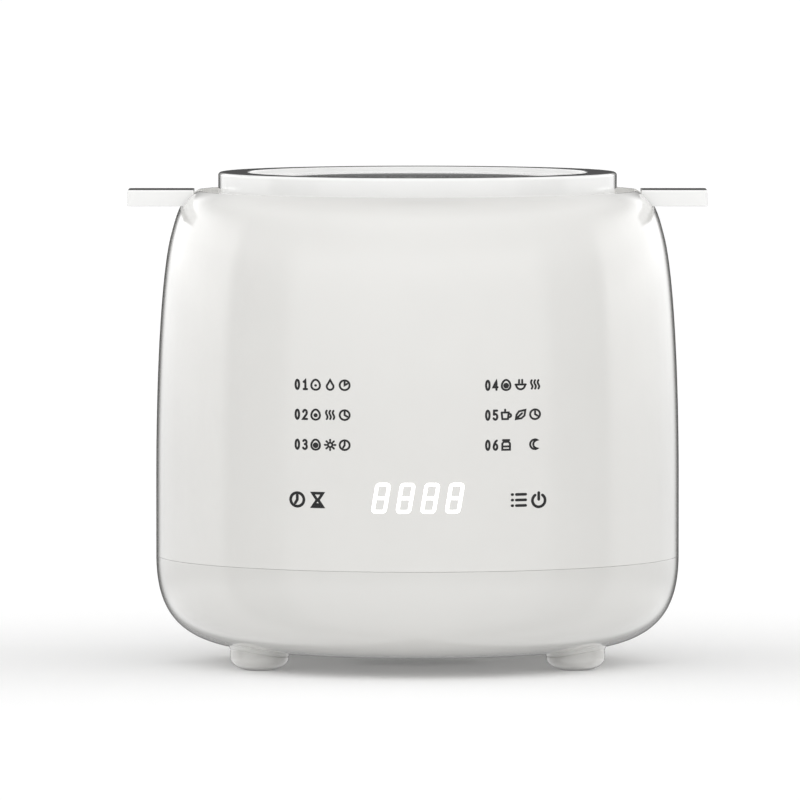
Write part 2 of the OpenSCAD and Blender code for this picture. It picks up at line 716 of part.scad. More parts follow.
module egg_rack() {
    step = 360 / egg_count;
    color([0.94, 0.94, 0.92]) difference() {
        union() {
            translate([0, 0, rack_z]) cylinder(r = rack_r, h = rack_t);
            translate([0, 0, rack_z - 4]) ring(rack_r, rack_r - 1.6, 4);
            for (i = [0:egg_count - 1]) rotate([0, 0, 90 + i * step]) {
                translate([egg_circle_r, 0, rack_z]) cylinder(r = egg_hole_r + 1.6, h = rack_t + 2.5);
                rotate([0, 0, step / 2]) translate([leg_circle_r, 0, pot_floor_z + pot_sheet + fit_gap])
                    cylinder(r = 3.5, h = rack_z - pot_floor_z - pot_sheet);
            }
            translate([0, 0, rack_z - 4]) cylinder(r = post_r + 3, h = rack_t + 4);
        }
        for (i = [0:egg_count - 1]) rotate([0, 0, 90 + i * step]) {
            translate([egg_circle_r, 0, rack_z - 5]) cylinder(r = egg_hole_r, h = 14);
            rotate([0, 0, step / 2]) for (r = [22, 30, 38]) translate([r, 0, rack_z - 1])
                cylinder(r = 1.8, h = rack_t + 2);
        }
        translate([0, 0, rack_z - 5]) cylinder(r = post_r - 1.45, h = 8);
    }
}

module rack_handle() {
    knob_z = 132;
    color([0.94, 0.94, 0.92]) {
        translate([0, 0, rack_z - 4]) cylinder(r = post_r - 1.5, h = 8);
        rotate_extrude() polygon(concat([[0, rack_top_z]], [[post_r, rack_top_z]],
            curve([[post_r, knob_z - 8], [post_r, knob_z], [12, knob_z], [12, knob_z + 5]], 6),
            curve([[12, knob_z + 5], [12, knob_z + 9], [7, knob_z + 11], [0, knob_z + 11]], 8)));
    }
}

// ---- lid ----

seal_t = 1.1;
flange_top_z = rim_z - moat_depth;
flange_z = flange_top_z - flange_t;
ear_top_z = rim_z + ear_rise;
dish_z = lid_top_z - dish_depth;

module lid_body() {
    edge_r = 1;
    lip_r = 0.4;
    skirt_out = pot_r - pot_sheet - 0.4;
    skirt_in = skirt_out - 1.5;
    roof_z = dish_z - lid_wall;
    profile = concat([[0, dish_z], [dish_r, dish_z]],
        arc(dish_r + lip_r, lid_top_z - lip_r, lip_r, 180, 90, 3),
        arc(lid_r - edge_r, lid_top_z - edge_r, edge_r, 90, 0, 6),
        [[lid_r, flange_top_z], [flange_r - 0.3, flange_top_z], [flange_r, flange_top_z - 0.3], [flange_r, flange_z],
         [skirt_out, flange_z], [skirt_out, flange_z - 5], [skirt_in, flange_z - 5], [skirt_in, flange_z + 1],
         [lid_r - lid_wall, flange_top_z], [lid_r - lid_wall, lid_top_z - lid_wall],
         [dish_r + 1, lid_top_z - lid_wall], [dish_r, roof_z], [0, roof_z]]);
    rotate_extrude() polygon(profile);
}

// A flat ear with rounded corners and a rim round its edges, open underneath. Inside the housing's
// rim it steps down to the lid's flange.
module ear() {
    corner = 1;
    rim_t = 1.8;
    root_r = rim_r + 1.5;
    low_z = ear_top_z - ear_h;
    difference() {
        linear_extrude(height = ear_h) polygon(concat([[lid_r - 1, -ear_w / 2]],
            arc(ear_reach - corner, -ear_w / 2 + corner, corner, -90, 0, 4),
            arc(ear_reach - corner, ear_w / 2 - corner, corner, 0, 90, 4), [[lid_r - 1, ear_w / 2]]));
        block([root_r + rim_t, ear_reach - rim_t], [-ear_w / 2 + rim_t, ear_w / 2 - rim_t], [-1, ear_h - lid_wall]);
        translate([0, 0, -1]) cylinder(r = recess_r - 0.8, h = flange_z + 1 - low_z);
        translate([0, 0, flange_top_z - low_z]) cylinder(r = root_r, h = ear_h);
    }
}

module lid() {
    color([0.95, 0.95, 0.93]) difference() {
        union() {
            lid_body();
            for (a = [0, 180]) rotate([0, 0, a]) translate([0, 0, ear_top_z - ear_h]) difference() {
                ear();
                translate([0, 0, -1]) cylinder(r = lid_r - 0.5, h = ear_h + 2);
            }
        }
        for (x = [-6, 0, 6]) translate([x, -steam_hole_out, dish_z - 3]) cylinder(r = steam_hole_r, h = 5);
    }
}

module lid_seal() {
    low_z = flange_z - seal_t;
    color([0.96, 0.96, 0.95]) rotate_extrude() polygon([[62.4, flange_z - 0.05], [69.2, flange_z - 0.05],
        [69.2, low_z + 0.5], [68.7, low_z + 0.1], [67, low_z + 0.1], [66, low_z + 0.45], [65, low_z + 0.45],
        [64, low_z + 0.1], [62.9, low_z + 0.1], [62.4, low_z + 0.5]]);
}

upper_housing();
base_housing();
feet();
foot_pads();
base_screws();
pot_well();
well_screws();
heating_plate();
heater_tube();
plate_spacers();
plate_screws();
sensor_bracket();
sensor_cap();
sensor_spring();
thermal_cutout();
cutout_clip();
bracket_screws();
control_board();
microcontroller();
board_socket();
buzzer();
display_module();
display_segments();
light_guide();
touch_pads();
board_bracket();
board_screws();
power_board();
transformer();
relay();
bulk_capacitor();
film_capacitor();
terminal_block();
mains_inlet();
inlet_pins();
mains_leads();
heater_leads();
ribbon_cable();
inner_pot();
egg_rack();
rack_handle();
lid();
lid_seal();
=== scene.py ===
"""Looks of the egg cooker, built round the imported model. Shapes are made in millimetres and scaled last."""
import json
import math

import bmesh
import bpy
from mathutils import Matrix, Vector


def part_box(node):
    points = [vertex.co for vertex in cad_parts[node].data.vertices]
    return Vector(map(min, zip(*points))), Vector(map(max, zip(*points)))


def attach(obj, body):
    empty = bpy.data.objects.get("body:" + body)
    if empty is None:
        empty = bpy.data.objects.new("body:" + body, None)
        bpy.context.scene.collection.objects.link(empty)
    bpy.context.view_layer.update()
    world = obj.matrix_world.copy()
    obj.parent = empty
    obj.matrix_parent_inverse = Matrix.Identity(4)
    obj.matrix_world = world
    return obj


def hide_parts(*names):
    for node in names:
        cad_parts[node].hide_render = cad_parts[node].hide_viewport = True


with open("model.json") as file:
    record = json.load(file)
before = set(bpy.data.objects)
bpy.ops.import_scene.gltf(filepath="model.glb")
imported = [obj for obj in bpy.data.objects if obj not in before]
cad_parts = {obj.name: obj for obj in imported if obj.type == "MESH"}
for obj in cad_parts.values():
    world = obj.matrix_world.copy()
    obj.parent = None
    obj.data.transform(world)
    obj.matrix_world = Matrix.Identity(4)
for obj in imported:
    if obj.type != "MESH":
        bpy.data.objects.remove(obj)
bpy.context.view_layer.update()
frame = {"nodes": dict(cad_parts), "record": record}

MM = 0.001
SKIN = 0.05             # the outer skin stays this far inside the CAD, so that the print has room
SEGMENTS = 288          # steps round a turned piece
SOFTENED_ANGLE = 50     # edges sharper than this many degrees are softened


def low(node, axis):
    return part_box(node)[0]["xyz".index(axis)] / MM


def high(node, axis):
    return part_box(node)[1]["xyz".index(axis)] / MM


# ---- sizes that several pieces share ----

body_r = high("upper_housing", "x")
rim_z = high("upper_housing", "z")
seam_z = low("upper_housing", "z") - 0.25
underside_z = low("base_housing", "z")
wall = 2.5
inner_r = body_r - wall
rim_r = body_r - 13
recess_r = rim_r - 0.5
pot_flange_r = high("inner_pot", "x")
pot_top_z = high("inner_pot", "z")
pot_floor_z = low("inner_pot", "z")
ledge_z = pot_top_z - 1.2
ledge_under_z = ledge_z - 3.4
shoulder_r = body_r - 4.8
shoulder_z = rim_z - 14.4
ear_reach = high("lid", "x")
lid_top_z = high("lid", "z")
flange_r = high("lid", "y")
flange_z = high("lid_seal", "z") + 0.05
flange_top_z = flange_z + 1.6
lid_r = 63.7
dish_r = 54.4
dish_z = lid_top_z - 1.8
ear_half_w = 10
ear_top_z = rim_z + 0.3
ear_h = 5.2
notch_half_w = ear_half_w + 0.4
notch_z = ear_top_z - ear_h - 0.2
foot_x = 50.2
foot_y = 29
foot_r = high("feet", "x") - foot_x
SCREW_ANGLES = (0, 60, 120, 180)    # where the housing screws stand, at the sides and round the back
SCREW_CIRCLE_R = 72


# ---- outlines ----

def bezier(p, steps):
    """Points along a cubic curve, both ends included."""
    points = []
    for i in range(steps + 1):
        t = i / steps
        w = ((1 - t) ** 3, 3 * (1 - t) ** 2 * t, 3 * (1 - t) * t * t, t ** 3)
        points.append(tuple(sum(w[k] * p[k][n] for k in range(4)) for n in range(2)))
    return points


def arc(cx, cy, rx, ry, start, end, steps):
    """Points along part of an ellipse, from start to end in degrees."""
    angles = [math.radians(start + (end - start) * i / steps) for i in range(steps + 1)]
    return [(cx + rx * math.cos(a), cy + ry * math.sin(a)) for a in angles]


def rounded(corners, steps=5):
    """A closed outline in which each corner given as (x, y, radius) is rounded."""
    points = []
    for i, corner in enumerate(corners):
        if len(corner) == 2:
            points.append(tuple(corner))
            continue
        p = Vector(corner[:2])
        to_last = Vector(corners[i - 1][:2]) - p
        to_next = Vector(corners[(i + 1) % len(corners)][:2]) - p
        half = to_last.angle(to_next) / 2
        cut = min(corner[2] / math.tan(half), 0.49 * to_last.length, 0.49 * to_next.length)
        u, v = to_last.normalized(), to_next.normalized()
        centre = p + (u + v).normalized() * cut / math.cos(half)
        a = p + u * cut - centre
        b = p + v * cut - centre
        start = math.atan2(a.y, a.x)
        turn = (math.atan2(b.y, b.x) - start + math.pi) % (2 * math.pi) - math.pi
        points += [(centre.x + a.length * math.cos(start + turn * k / steps),
                    centre.y + a.length * math.sin(start + turn * k / steps)) for k in range(steps + 1)]
    return points


def side_outline(inset, steps):
    """The side, from the belly up to the start of the shoulder."""
    return bezier([(body_r - inset, 58), (body_r - inset, 93), (body_r - 1.7 - inset, shoulder_z - 12),
                   (shoulder_r - inset, shoulder_z - inset / 5)], steps)


def shoulder_outline(inset, steps):
    return bezier([(shoulder_r - inset, shoulder_z), (shoulder_r - 2.2 - inset, shoulder_z + 8.5),
                   (rim_r + 4.8, rim_z - 3 - inset), (rim_r + 0.25, rim_z - inset)], steps)


def base_outline(inset, steps, top_z):
    """The base, from the seam round to the flat underside."""
    return bezier([(body_r - inset, top_z), (body_r - 0.2 - inset, 16 + inset * 0.7),
                   (76 - inset * 0.6, underside_z + 0.2 + inset), (50, underside_z + inset)], steps)


def base_height(radius):
    """Height of the underside's surface at a distance from the axis."""
    line = base_outline(0, 96, seam_z)[::-1]
    if radius <= line[0][0]:
        return line[0][1]
    for (r0, z0), (r1, z1) in zip(line, line[1:]):
        if r0 <= radius <= r1:
            return z0 + (z1 - z0) * (radius - r0) / (r1 - r0)
    return line[-1][1]


def front_radius(z):
    """Radius of the visible side at a height."""
    line = [(body_r - SKIN, 0)] + side_outline(SKIN, 48)
    for (r0, z0), (r1, z1) in zip(line, line[1:]):
        if z0 <= z <= z1:
            return r0 + (r1 - r0) * (z - z0) / (z1 - z0)
    return shoulder_r


# ---- meshes ----

def add_object(name, verts, faces, sharp=30):
    """An object from points in millimetres, smooth except at edges sharper than that many degrees."""
    mesh = bpy.data.meshes.new(name)
    mesh.from_pydata([tuple(v) for v in verts], [], faces)
    obj = bpy.data.objects.new(name, mesh)
    bpy.context.scene.collection.objects.link(obj)
    finish_mesh(obj, sharp)
    return obj


def finish_mesh(obj, sharp=30):
    work = bmesh.new()
    work.from_mesh(obj.data)
    bmesh.ops.remove_doubles(work, verts=work.verts, dist=1e-4)
    bmesh.ops.recalc_face_normals(work, faces=work.faces)
    work.to_mesh(obj.data)
    work.free()
    obj.data.shade_smooth()
    obj.data.set_sharp_from_angle(angle=math.radians(sharp))


def lathe(name, outline, segments=SEGMENTS, sharp=30):
    """Turns a closed outline of (radius, height) points round the axis."""
    verts, faces, rings = [], [], []
    for r, z in outline:
        count = segments if r > 1e-6 else 1
        rings.append(range(len(verts), len(verts) + count))
        verts += [(r * math.cos(2 * math.pi * k / count), r * math.sin(2 * math.pi * k / count), z)
                  for k in range(count)]
    for a, b in zip(rings, rings[1:] + rings[:1]):
        for k in range(segments):
            n = k + 1
            face = [a[k % len(a)], a[n % len(a)], b[n % len(b)], b[k % len(b)]]
            face = list(dict.fromkeys(face))
            if len(face) > 2:
                faces.append(face)
    return add_object(name, verts, faces, sharp)


def loft(name, loops):
    """Skins loops of equal length, and closes the first and the last one."""
    n = len(loops[0])
    verts = [p for loop in loops for p in loop]
    faces = [[i * n + k, i * n + (k + 1) % n, (i + 1) * n + (k + 1) % n, (i + 1) * n + k]
             for i in range(len(loops) - 1) for k in range(n)]
    faces += [list(range(n))[::-1], list(range(len(verts) - n, len(verts)))]
    return add_object(name, verts, faces)


def box_piece(name, x, y, z, radius=0):
    """A block whose upright edges are rounded."""
    corners = [(x[0], y[0], radius), (x[1], y[0], radius), (x[1], y[1], radius), (x[0], y[1], radius)]
    outline = rounded(corners, 4) if radius else [c[:2] for c in corners]
    return loft(name, [[(px, py, pz) for px, py in outline] for pz in z])


def boolean(target, others, operation="DIFFERENCE"):
    """Cuts or joins other objects, which don't touch each other, for good, and removes them."""
    tool = join("tool", others)
    modifier = target.modifiers.new("boolean", "BOOLEAN")
    modifier.operation = operation
    modifier.solver = "MANIFOLD"
    modifier.object = tool
    bpy.context.view_layer.objects.active = target
    bpy.ops.object.modifier_apply(modifier=modifier.name)
    bpy.data.objects.remove(tool)


def join(name, objects):
    """One object that holds them all."""
    verts, faces = [], []
    for obj in objects:
        faces += [[i + len(verts) for i in face.vertices] for face in obj.data.polygons]
        verts += [v.co.copy() for v in obj.data.vertices]
        bpy.data.objects.remove(obj)
    return add_object(name, verts, faces)


def soften(obj, near, width=0.25):
    """Rounds the sharp edges whose middle passes the test, which gets a point in millimetres."""
    work = bmesh.new()
    work.from_mesh(obj.data)
    edges = [e for e in work.edges if len(e.link_faces) == 2
             and e.calc_face_angle() > math.radians(SOFTENED_ANGLE) and near((e.verts[0].co + e.verts[1].co) / 2)]
    bmesh.ops.bevel(work, geom=edges, offset=width, segments=2, affect="EDGES",
                    clamp_overlap=True, profile=0.5)
    work.to_mesh(obj.data)
    work.free()
    finish_mesh(obj)


def polar(radius, degrees):
    a = math.radians(degrees)
    return (radius * math.cos(a), radius * math.sin(a))


# ---- materials ----

def link(tree, source, target):
    tree.links.new(source, target)


def noise(tree, vector, scale, detail=2.0):
    node = tree.nodes.new("ShaderNodeTexNoise")
    node.inputs["Scale"].default_value = scale
    node.inputs["Detail"].default_value = detail
    link(tree, vector, node.inputs["Vector"])
    return node.outputs["Fac"]


def remap(tree, value, out_low, out_high):
    """Stretches the middle of a noise's range to the one given."""
    node = tree.nodes.new("ShaderNodeMapRange")
    for socket, number in (("From Min", 0.3), ("From Max", 0.7), ("To Min", out_low), ("To Max", out_high)):
        node.inputs[socket].default_value = number
    link(tree, value, node.inputs["Value"])
    return node.outputs["Result"]


def math_node(tree, operation, a, b=None):
    node = tree.nodes.new("ShaderNodeMath")
    node.operation = operation
    for socket, value in zip(node.inputs, (a, b)):
        if isinstance(value, (int, float)):
            socket.default_value = value
        elif value is not None:
            link(tree, value, socket)
    return node.outputs[0]


def place(tree):
    """The point on the surface, in metres."""
    return tree.nodes.new("ShaderNodeTexCoord").outputs["Object"]


def turned_place(tree):
    """The point as (distance from the axis, height), in metres, so that a texture runs in rings."""
    split = tree.nodes.new("ShaderNodeSeparateXYZ")
    link(tree, place(tree), split.inputs[0])
    x2 = math_node(tree, "MULTIPLY", split.outputs["X"], split.outputs["X"])
    y2 = math_node(tree, "MULTIPLY", split.outputs["Y"], split.outputs["Y"])
    radius = math_node(tree, "SQRT", math_node(tree, "ADD", x2, y2))
    both = tree.nodes.new("ShaderNodeCombineXYZ")
    link(tree, radius, both.inputs["X"])
    link(tree, split.outputs["Z"], both.inputs["Y"])
    return both.outputs[0]


def material(name, colour, roughness, spread=0.04, grain=900, relief=0.02, shade=0.03, turned=False,
             metallic=0.0, coat=0.0, ior=1.5, subsurface=0.0, emission=0.0):
    """A surface with slight variation in tone and gloss and a fine relief, whose depth is in millimetres."""
    made = bpy.data.materials.new(name)
    made.use_nodes = True
    tree = made.node_tree
    shader = tree.nodes["Principled BSDF"]
    shader.inputs["Metallic"].default_value = metallic
    shader.inputs["IOR"].default_value = ior
    if coat:
        shader.inputs["Coat Weight"].default_value = coat
        shader.inputs["Coat Roughness"].default_value = 0.06
    if subsurface:
        shader.inputs["Subsurface Weight"].default_value = subsurface
        shader.inputs["Subsurface Scale"].default_value = 0.002
    where = turned_place(tree) if turned else place(tree)
    mix = tree.nodes.new("ShaderNodeMix")
    mix.data_type = "RGBA"
    mix.inputs["A"].default_value = (*[c * (1 - shade) for c in colour], 1)
    mix.inputs["B"].default_value = (*[min(1, c * (1 + shade)) for c in colour], 1)
    link(tree, remap(tree, noise(tree, where, grain / 12), 0, 1), mix.inputs["Factor"])
    link(tree, mix.outputs["Result"], shader.inputs["Base Color"])
    fine = noise(tree, where, grain, 3)
    link(tree, remap(tree, fine, max(0.02, roughness - spread), roughness + spread), shader.inputs["Roughness"])
    if relief:
        bump = tree.nodes.new("ShaderNodeBump")
        bump.inputs["Distance"].default_value = relief * MM
        bump.inputs["Strength"].default_value = 1
        link(tree, fine, bump.inputs["Height"])
        link(tree, bump.outputs[0], shader.inputs["Normal"])
    if emission:
        link(tree, mix.outputs["Result"], shader.inputs["Emission Color"])
        shader.inputs["Emission Strength"].default_value = emission
    return made


def dress(obj, made):
    obj.data.materials.clear()
    obj.data.materials.append(made)
    for face in obj.data.polygons:
        face.material_index = 0


def weigh_normals(obj):
    """Keeps large flat faces flat to the light where they meet a rounded edge."""
    modifier = obj.modifiers.new("weighted", "WEIGHTED_NORMAL")
    modifier.keep_sharp = True
    bpy.context.view_layer.objects.active = obj
    bpy.ops.object.modifier_apply(modifier=modifier.name)


def piece(obj, body, slot, made, *nodes):
    """Scales a new piece to metres, dresses it, puts it on its body and hides the CAD nodes it stands for."""
    weigh_normals(obj)
    obj.data.transform(Matrix.Scale(MM, 4))
    dress(obj, made)
    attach(obj, body)
    if nodes:
        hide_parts(*nodes)
    return obj


housing_white = material("housing_white", (0.767, 0.760, 0.738), 0.16, 0.02, 700, 0.0012, 0.006, coat=1.0)
# painted shade: the base and feet get a darker copy of the housing's plastic, standing in for the shade on the lower
# part
base_shaded_white = material("base_shaded_white", (0.722, 0.716, 0.695), 0.16, 0.02, 700, 0.0012, 0.006, coat=1.0)
lid_white = material("lid_white", (0.965, 0.965, 0.955), 0.07, 0.01, 700, 0.0004, 0.003, coat=1.0)
rack_white = material("rack_white", (0.82, 0.82, 0.80), 0.24, 0.03, 800, 0.002, 0.01)
pot_steel = material("pot_steel", (0.62, 0.625, 0.63), 0.22, 0.06, 2600, 0.004, 0.05, True, 1.0)
ink = material("print_ink", (0.012, 0.012, 0.013), 0.45, 0.05, 900, 0.001, 0.1)
lit = material("lit_white", (1.0, 1.0, 1.0), 0.5, 0.02, 900, 0, 0.004, emission=1.0)

CAD_LOOKS = {
    "silicone": ((0.82, 0.82, 0.80), 0.42, 0.05, 900, 0.006, 0.02, {"subsurface": 0.2}),
    "pad_rubber": ((0.55, 0.55, 0.54), 0.72, 0.06, 1600, 0.03, 0.05, {}),
    "zinc_steel": ((0.60, 0.61, 0.62), 0.34, 0.08, 1500, 0.008, 0.08, {"metallic": 1.0}),
    "sheet_aluminium": ((0.72, 0.72, 0.73), 0.36, 0.08, 1800, 0.006, 0.05, {"metallic": 1.0, "turned": True}),
    "cast_aluminium": ((0.60, 0.60, 0.61), 0.40, 0.09, 2200, 0.012, 0.06, {"metallic": 1.0, "turned": True}),
    "tube_steel": ((0.30, 0.27, 0.25), 0.42, 0.08, 900, 0.008, 0.12, {"metallic": 1.0}),
    "ceramic": ((0.80, 0.77, 0.68), 0.70, 0.05, 1200, 0.02, 0.04, {}),
    "phenolic": ((0.09, 0.05, 0.035), 0.48, 0.06, 1000, 0.01, 0.10, {}),
    "circuit_board": ((0.02, 0.13, 0.05), 0.30, 0.05, 700, 0.01, 0.15, {"coat": 0.4}),
    "black_plastic": ((0.025, 0.025, 0.026), 0.42, 0.05, 1300, 0.012, 0.10, {}),
    "lit_segments": ((0.95, 0.95, 0.95), 0.40, 0.04, 900, 0.004, 0.02, {}),
    "diffuser": ((0.85, 0.86, 0.88), 0.35, 0.04, 900, 0.004, 0.02, {"subsurface": 0.3}),
    "conductive_foam": ((0.09, 0.09, 0.095), 0.90, 0.05, 1800, 0.15, 0.25, {}),
    "connector_plastic": ((0.80, 0.78, 0.70), 0.45, 0.05, 900, 0.006, 0.03, {}),
    "relay_plastic": ((0.02, 0.07, 0.30), 0.40, 0.05, 900, 0.008, 0.06, {}),
    "transformer_core": ((0.06, 0.06, 0.065), 0.50, 0.08, 1500, 0.02, 0.15, {}),
    "capacitor_sleeve": ((0.02, 0.02, 0.04), 0.30, 0.05, 900, 0.004, 0.08, {}),
    "capacitor_yellow": ((0.62, 0.40, 0.03), 0.38, 0.05, 900, 0.006, 0.05, {}),
    "terminal_green": ((0.03, 0.20, 0.07), 0.45, 0.05, 900, 0.006, 0.06, {}),
    "brass_pins": ((0.72, 0.55, 0.24), 0.26, 0.06, 1500, 0.004, 0.05, {"metallic": 1.0}),
    "wire_brown": ((0.17, 0.06, 0.025), 0.50, 0.05, 1200, 0.008, 0.08, {}),
    "wire_red": ((0.42, 0.025, 0.02), 0.50, 0.05, 1200, 0.008, 0.08, {}),
    "ribbon_grey": ((0.42, 0.42, 0.43), 0.48, 0.05, 1200, 0.01, 0.08, {}),
}


def dress_cad_nodes():
    """Gives every CAD node that stays its procedural material."""
    made = {}
    slots = {part["node"]: part["material_slot"] for part in frame["record"]["subparts"]}
    for name, obj in frame["nodes"].items():
        slot = slots[name]
        if slot not in made:
            if slot in CAD_LOOKS:
                colour, roughness, spread, grain, relief, shade, extra = CAD_LOOKS[slot]
                made[slot] = material(slot, colour, roughness, spread, grain, relief, shade, **extra)
            else:
                made[slot] = {"housing_plastic": housing_white, "lid_plastic": lid_white,
                              "rack_plastic": rack_white, "pot_steel": pot_steel}[slot]
        obj.data.materials.clear()
        obj.data.materials.append(made[slot])
        for face in obj.data.polygons:
            face.material_index = 0


# ---- housing ----

SEAM_FILLET = 0.12
SEAM_HALF = 0.03        # half the gap between the two mouldings


def make_housing():
    """The upper housing, with its shoulder, the recess and ledge, and the two notches for the ears."""
    out = body_r - SKIN
    inside = side_outline(wall, 24)[::-1]
    outline = rounded([(inner_r, seam_z + SEAM_HALF), (out, seam_z + SEAM_HALF, SEAM_FILLET), (out, 50)])
    outline += side_outline(SKIN, 60) + shoulder_outline(SKIN, 36)[1:]
    outline += rounded([(recess_r, rim_z - SKIN), (recess_r, ledge_z, 0.3), (64.2, ledge_z, 0.4),
                        (64.2, ledge_under_z, 0.3), (shoulder_r - wall - 2.5, ledge_under_z)])
    outline += inside
    shell = lathe("housing_shell", outline)
    sides = [sorted((s * (recess_r - 2), s * (body_r + 2))) for s in (-1, 1)]
    boolean(shell, [box_piece("notch", x, (-notch_half_w, notch_half_w), (notch_z, rim_z + 2)) for x in sides])
    finish_mesh(shell)
    soften(shell, lambda p: abs(p.y) < notch_half_w + 0.3 and abs(p.x) > recess_r - 1.5 and p.z > notch_z - 0.2)
    pillars = []
    for a in SCREW_ANGLES:
        x, y = polar(SCREW_CIRCLE_R, a)
        pillars.append(turned_at("pillar", rounded([(0, 36.5), (4.5, 36.5, 0.3), (4.5, 60, 0.3), (0, 60)]), x, y))
    return piece(join("housing_shell", [shell, *pillars]), "body", "housing_plastic", housing_white,
                 "upper_housing")


def turned_at(name, outline, x, y, segments=48):
    """A turned piece whose axis stands at (x, y)."""
    obj = lathe(name, outline, segments)
    obj.data.transform(Matrix.Translation((x, y, 0)))
    return obj


def outside_base(inset):
    """A ring and disc round and under the base, to cut off what would stick out of its skin."""
    return lathe("outside", base_outline(inset, 48, seam_z) + [(0, underside_z + inset), (0, -5), (100, -5),
                                                               (100, seam_z)])


def make_base():
    """The base, with its lip, screw holes, vents and the pocket of the mains inlet."""
    top = seam_z - SEAM_HALF
    floor_z = underside_z + wall
    lip_r = inner_r - 0.2
    out = body_r - SKIN
    curve_out = base_outline(SKIN, 72, seam_z - 0.6)
    outline = rounded([(lip_r, top), (out, top, SEAM_FILLET), curve_out[0]])[:-1] + curve_out
    outline += [(30, underside_z + SKIN), (0, underside_z + SKIN), (0, floor_z)]
    outline += base_outline(wall, 24, seam_z)[::-1]
    outline += rounded([(inner_r - 1.7, seam_z - 2.3), (lip_r - 1.5, seam_z), (lip_r - 1.5, seam_z + 2.2, 0.3),
                        (lip_r, seam_z + 2.2, 0.3), (lip_r, top)])[:-1]
    shell = lathe("base_shell", outline)
    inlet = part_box("mains_inlet")
    gap = 0.3
    half_w = inlet[1].x / MM + gap
    z0, z1 = inlet[0].z / MM - gap, inlet[1].z / MM + gap
    face_y = inlet[1].y / MM
    seat_outline = [(-13, z0 - 4), (13, z0 - 4), (13, z1 + 1.5), (-13, z1 + 1.5)]
    seat = loft("seat", [[(x, y, z) for x, z in seat_outline] for y in (face_y - 4.5, 81)])
    boolean(seat, [outside_base(0.1)])
    boolean(shell, [seat], "UNION")
    ledge = 2.2
    for (w, low_z, high_z, y0) in ((half_w, z0, z1, face_y - 1.7),
                                   (half_w - ledge, z0 + 1.6, z1 - 1.6, 60)):
        outline = rounded([(-w, low_z, 1.2), (w, low_z, 1.2), (w, high_z, 1.2), (-w, high_z, 1.2)])
        boolean(shell, [loft("pocket", [[(x, y, z) for x, z in outline] for y in (y0, body_r + 2)])])
    cuts = []
    for i in range(-3, 4):
        half = 15 - 1.5 * abs(i)
        cuts.append(box_piece("vent", (i * 5.5 - 1.1, i * 5.5 + 1.1), (-half, half), (0, floor_z + 2), 1.05))
    for a in SCREW_ANGLES:
        x, y = polar(SCREW_CIRCLE_R, a)
        cuts.append(turned_at("hole", [(0, 0), (3.7, 0), (3.7, 22), (0, 22)], x, y))
    boolean(shell, cuts)
    finish_mesh(shell)
    soften(shell, lambda p: p.z < 32 and (p.y > 60 or p.z < 12) and p.length > 3 and p.z > 1, 0.3)
    wells = []
    for a in SCREW_ANGLES:
        x, y = polar(SCREW_CIRCLE_R, a)
        wells.append(turned_at("well", [(1.7, 22), (1.7, 24.5), (4.9, 24.5), (4.9, 12), (3.7, 12), (3.7, 22)], x, y))
    wells = join("wells", wells)
    boolean(wells, [outside_base(0.3)])
    finish_mesh(wells)
    return piece(join("base_shell", [shell, wells]), "body", "housing_plastic", base_shaded_white, "base_housing")


def foot_loops():
    """Loops of one foot round its own axis, from the collar at the base's surface down to the flat."""
    centre = math.hypot(foot_x, foot_y)
    across = math.degrees(math.atan2(foot_y, foot_x))
    bottom = 0.2
    side = [(foot_r + 1.0, 0.35), (foot_r + 0.6, 0.08), (foot_r + 0.33, -0.2), (foot_r + 0.16, -0.5),
            (foot_r + 0.06, -0.75), (foot_r - 0.03, -0.84), (foot_r - 0.16, -0.88), (foot_r - 0.18, -0.98),
            (foot_r - 0.08, -1.08), (foot_r, -1.3)]
    lower = bezier([(foot_r, 4.0), (foot_r - 0.25, 1.8), (foot_r - 2.0, 0.6), (5.2, bottom)], 12)
    lower += [(5.0, bottom), (4.75, bottom + 0.1), (4.7, bottom + 0.9), (0.01, bottom + 0.9)]
    loops = []
    for n, row in enumerate(side + lower):
        loop = []
        for k in range(96):
            angle = k * 360 / 96
            x, y = polar(row[0], angle)
            if n < len(side):
                to_axis = polar(centre, across)
                z = base_height(math.hypot(to_axis[0] + x, to_axis[1] + y)) + row[1]
            else:
                z = row[1]
            loop.append((x + foot_x, y + foot_y, z))
        loops.append(loop)
    return loops


def make_feet():
    feet = []
    for sx in (-1, 1):
        for sy in (-1, 1):
            loops = [[(sx * x, sy * y, z) for x, y, z in loop] for loop in foot_loops()]
            feet.append(loft("foot", loops))
    return piece(join("feet_mouldings", feet), "body", "housing_plastic", base_shaded_white, "feet")


# ---- lid ----

DISH_TILT = 0.075       # how far the dish's floor seems to lean at its edge, in radians
ear_root_r = 72.2       # inside this the ear steps down to the lid's flange


def ear_solid(side):
    """One ear: a slab with rounded edges and a hollow underneath, outside its stepped root."""
    def plan(inset, corner, start=62.4):
        end = ear_reach - inset
        half = ear_half_w - inset
        return rounded([(start, -half, 0.2), (end, -half, corner), (end, half, corner), (start, half, 0.2)], 6)
    low_z = ear_top_z - ear_h
    top_r, low_r, corner, rim = 0.5, 0.3, 1.4, 1.7
    loops = [[(x, y, ear_top_z - 2) for x, y in plan(rim, 0.6, ear_root_r + 1.8)]]
    loops += [[(x, y, low_z) for x, y in plan(rim, 0.6, ear_root_r + 1.8)]]
    for a in (0, 30, 60, 90):
        t = math.radians(a)
        inset = low_r * (1 - math.sin(t))
        loops.append([(x, y, low_z + low_r * (1 - math.cos(t))) for x, y in plan(inset, corner - inset)])
    for a in range(0, 91, 15):
        t = math.radians(a)
        inset = top_r * (1 - math.cos(t))
        loops.append([(x, y, ear_top_z - top_r * (1 - math.sin(t))) for x, y in plan(inset, corner - inset)])
    obj = loft("ear", [[(side * x, y, z) for x, y, z in loop] for loop in loops])
    return obj


